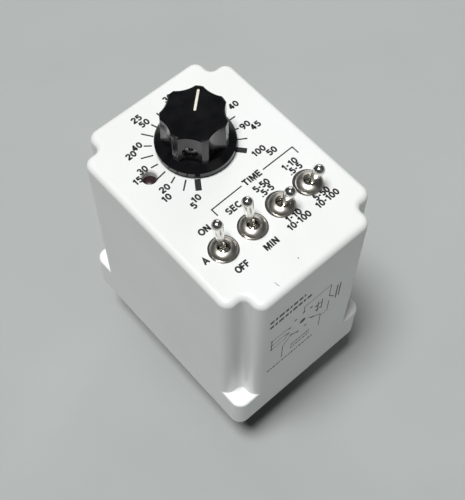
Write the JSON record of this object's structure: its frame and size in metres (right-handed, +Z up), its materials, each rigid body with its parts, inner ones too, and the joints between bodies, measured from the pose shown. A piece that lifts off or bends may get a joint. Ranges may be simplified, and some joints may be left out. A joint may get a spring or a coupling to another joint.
{
  "type": "plug-in time-delay relay",
  "caption": "White moulded plug-in timer case with corner channels, a fluted black dial knob, toggle switches, a lamp and a round plug with a key post.",
  "frame": {"origin": "under the middle of the case, at the tip of the plug's key post", "axes": "+Z up out of the panel, +Y from the toggle switches towards the knob, +X along the row of toggle switches, reading direction of the panel"},
  "size_m": [0.0444, 0.0606, 0.0966],
  "materials": {
    "white_plastic": "semi-gloss moulded",
    "black_phenolic": "moulded, low sheen",
    "knob_black": "polished",
    "pointer_white": "filled line",
    "nickel_plate": "bright nickel",
    "zinc_steel": "plated steel",
    "brass": "bright brass",
    "copper_wire": "enamelled copper",
    "phenolic_brown": "laminate",
    "switch_red": "moulded",
    "lamp_red": "clear tinted lens",
    "board_green": "solder resist over glass laminate",
    "chip_black": "moulded epoxy",
    "sleeve_blue": "shrink sleeve",
    "dipped_orange": "dipped coating",
    "trimmer_blue": "moulded",
    "resistor_tan": "lacquer",
    "ceramic_white": "unglazed ceramic",
    "bobbin_white": "moulded nylon",
    "wire_red": "insulation"
  },
  "bodies": {
    "case": {"cover": "white_plastic", "base_plate": "black_phenolic", "plug_header": "black_phenolic", "plug_pins": "nickel_plate", "base_screws": "zinc_steel", "pot_bushing": "nickel_plate", "pot_washer": "zinc_steel", "pot_nut": "nickel_plate", "pot_can": "zinc_steel", "pot_track": "phenolic_brown", "pot_terminals": "nickel_plate", "toggle_bushings": "nickel_plate", "toggle_washers": "nickel_plate", "toggle_nuts": "nickel_plate", "toggle_bodies": "switch_red", "toggle_terminals": "brass", "lamp": "lamp_red", "lamp_leads": "nickel_plate", "front_board": "board_green", "main_board": "board_green", "link_bar": "black_phenolic", "link_pins": "brass", "chips": "chip_black", "chip_legs": "nickel_plate", "filter_capacitors": "sleeve_blue", "timing_capacitor": "dipped_orange", "trimmer": "trimmer_blue", "resistors": "resistor_tan", "diodes": "chip_black", "power_resistor": "ceramic_white", "relay_base": "black_phenolic", "relay_yoke": "zinc_steel", "relay_core": "zinc_steel", "relay_bobbin": "bobbin_white", "relay_coil": "copper_wire", "relay_contact_arms": "brass", "relay_spring": "nickel_plate", "wires": "wire_red"},
    "knob": {"knob": "knob_black", "knob_pointer": "pointer_white", "knob_insert": "brass", "knob_set_screw": "zinc_steel", "pot_shaft": "nickel_plate", "pot_rotor": "phenolic_brown", "pot_wiper": "brass"},
    "armature": {"relay_armature": "zinc_steel", "relay_card": "bobbin_white", "relay_blades": "brass"},
    "lever_1": {"toggle_lever_1": "nickel_plate"},
    "rocker_1": {"toggle_rocker_1": "brass"},
    "lever_2": {"toggle_lever_2": "nickel_plate"},
    "rocker_2": {"toggle_rocker_2": "brass"},
    "lever_3": {"toggle_lever_3": "nickel_plate"},
    "rocker_3": {"toggle_rocker_3": "brass"},
    "lever_4": {"toggle_lever_4": "nickel_plate"},
    "rocker_4": {"toggle_rocker_4": "brass"}
  },
  "joints": [
    {"name": "knob_turn", "type": "hinge", "parent": "case", "child": "knob", "pos_m": [0.0005, 0.0113, 0.0843], "axis": [0, 0, 1], "range_deg": [-93, 197]},
    {"name": "lever_1_throw", "type": "hinge", "parent": "case", "child": "lever_1", "pos_m": [-0.01298, -0.0139, 0.0831], "axis": [1, 0, 0], "range_deg": [0, 26]},
    {"name": "rocker_1_tilt", "type": "hinge", "parent": "case", "child": "rocker_1", "pos_m": [-0.01298, -0.0139, 0.07705], "axis": [1, 0, 0], "range_deg": [-14.2, 0]},
    {"name": "lever_2_throw", "type": "hinge", "parent": "case", "child": "lever_2", "pos_m": [-0.00432, -0.0139, 0.0831], "axis": [1, 0, 0], "range_deg": [0, 26]},
    {"name": "rocker_2_tilt", "type": "hinge", "parent": "case", "child": "rocker_2", "pos_m": [-0.00432, -0.0139, 0.07705], "axis": [1, 0, 0], "range_deg": [-14.2, 0]},
    {"name": "lever_3_throw", "type": "hinge", "parent": "case", "child": "lever_3", "pos_m": [0.00432, -0.0139, 0.0831], "axis": [1, 0, 0], "range_deg": [-26, 0]},
    {"name": "rocker_3_tilt", "type": "hinge", "parent": "case", "child": "rocker_3", "pos_m": [0.00432, -0.0139, 0.07705], "axis": [1, 0, 0], "range_deg": [0, 14.2]},
    {"name": "lever_4_throw", "type": "hinge", "parent": "case", "child": "lever_4", "pos_m": [0.01298, -0.0139, 0.0831], "axis": [1, 0, 0], "range_deg": [-26, 0]},
    {"name": "rocker_4_tilt", "type": "hinge", "parent": "case", "child": "rocker_4", "pos_m": [0.01298, -0.0139, 0.07705], "axis": [1, 0, 0], "range_deg": [0, 14.2]},
    {"name": "armature_pull", "type": "hinge", "parent": "case", "child": "armature", "pos_m": [-0.008, 0.0095, 0.04985], "axis": [1, 0, 0], "range_deg": [0, 4.6], "stiffness_Nm_per_rad": 0.02, "springref_deg": -17.19, "deforming": ["relay_spring"]}
  ],
  "couplings": [
    {"joint": "rocker_1_tilt", "follows": "lever_1_throw", "ratio": -0.538},
    {"joint": "rocker_2_tilt", "follows": "lever_2_throw", "ratio": -0.538},
    {"joint": "rocker_3_tilt", "follows": "lever_3_throw", "ratio": -0.538},
    {"joint": "rocker_4_tilt", "follows": "lever_4_throw", "ratio": -0.538}
  ]
}
